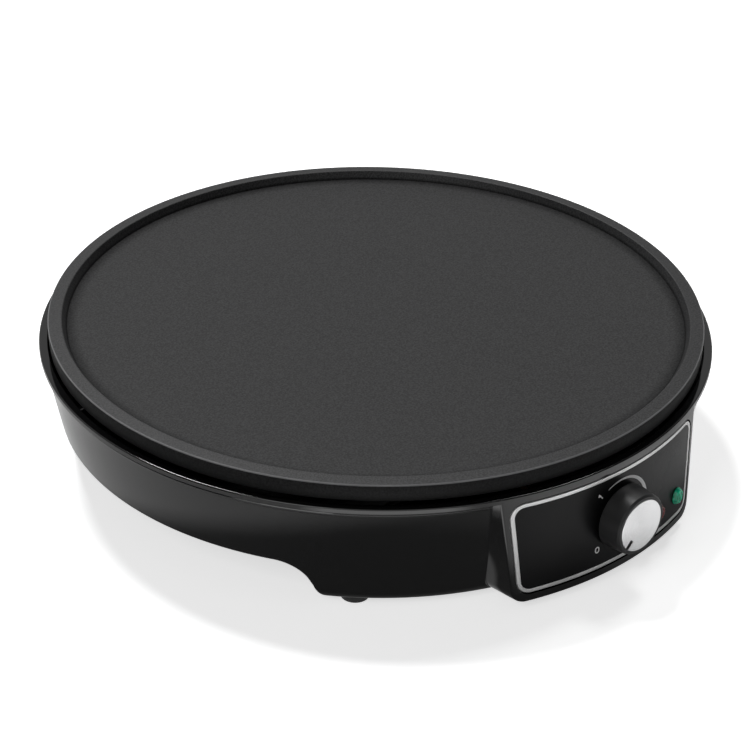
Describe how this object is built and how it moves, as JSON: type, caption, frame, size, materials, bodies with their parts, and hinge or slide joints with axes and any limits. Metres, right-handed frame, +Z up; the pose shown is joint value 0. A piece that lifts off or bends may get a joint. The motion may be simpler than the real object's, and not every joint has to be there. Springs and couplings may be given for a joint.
{
  "type": "electric crepe maker",
  "caption": "Round electric crepe maker: low black housing with raised hand-grip sides and feet, a non-stick griddle plate, and a front box with a turning heat knob and lamps.",
  "frame": {"origin": "on the table, under the middle of the whole: the middle of the box in X and Y, at the underside of the feet", "axes": "+Z up; -Y is the front, with the control box and the knob; +X is to the right as seen from the front"},
  "size_m": [0.3136, 0.3276, 0.0679],
  "materials": {
    "nonstick": "matte black non-stick coating with a fine grain on cast aluminium",
    "housing_plastic": "gloss black moulded heat-resistant plastic",
    "panel_plastic": "satin black inlay",
    "silver_trim": "satin silver line",
    "dial_print": "pale grey print",
    "knob_plastic": "satin black plastic",
    "brushed_aluminium": "spun bright aluminium",
    "zinc_steel": "zinc plated sheet steel",
    "screw_steel": "zinc plated",
    "element_steel": "heat darkened steel sheath",
    "brass": "plain brass",
    "copper": "drawn copper",
    "phenolic": "black phenolic moulding",
    "ceramic": "unglazed steatite",
    "green_lens": "transparent green moulded lens",
    "red_lens": "transparent dark red moulded lens",
    "lamp_glass": "clear glass",
    "pale_plastic": "natural nylon",
    "lead_blue": "blue insulation",
    "wire_brown": "brown insulation",
    "wire_red": "red silicone insulation",
    "wire_green": "green insulation with a yellow stripe",
    "bushing_plastic": "matte black nylon",
    "foot_rubber": "matte black rubber"
  },
  "bodies": {
    "base": {"griddle_plate": "nonstick", "base_housing": "housing_plastic", "control_panel": "panel_plastic", "panel_frame": "silver_trim", "scale_marks": "dial_print", "thermostat_body": "phenolic", "thermostat_plate": "zinc_steel", "thermostat_screws": "screw_steel", "thermostat_tabs": "brass", "sensor_bulb": "copper", "capillary_tube": "copper", "bulb_clip": "zinc_steel", "heating_element": "element_steel", "element_seals": "ceramic", "element_tabs": "brass", "thermal_fuse": "ceramic", "fuse_clip": "zinc_steel", "clip_screws": "screw_steel", "heat_shield": "zinc_steel", "shield_spacers": "ceramic", "plate_screws": "screw_steel", "green_lens": "green_lens", "red_lens": "red_lens", "lamp_sleeves": "pale_plastic", "neon_lamps": "lamp_glass", "lamp_leads": "lead_blue", "terminal_block": "pale_plastic", "clamp_screws": "screw_steel", "block_screws": "screw_steel", "earth_tab": "brass", "earth_screw": "brass", "live_wire": "wire_brown", "switched_wire": "wire_brown", "fused_wire": "wire_red", "neutral_wire": "lead_blue", "earth_wire": "wire_green", "cord_bushing": "bushing_plastic", "rubber_feet": "foot_rubber", "foot_screws": "screw_steel"},
    "knob": {"knob_body": "knob_plastic", "knob_cap": "brushed_aluminium", "thermostat_shaft": "zinc_steel"}
  },
  "joints": [
    {"name": "knob_turn", "type": "hinge", "parent": "base", "child": "knob", "pos_m": [0, -0.1651, 0.0316], "axis": [0, 1, 0], "range_deg": [0, 270]}
  ]
}
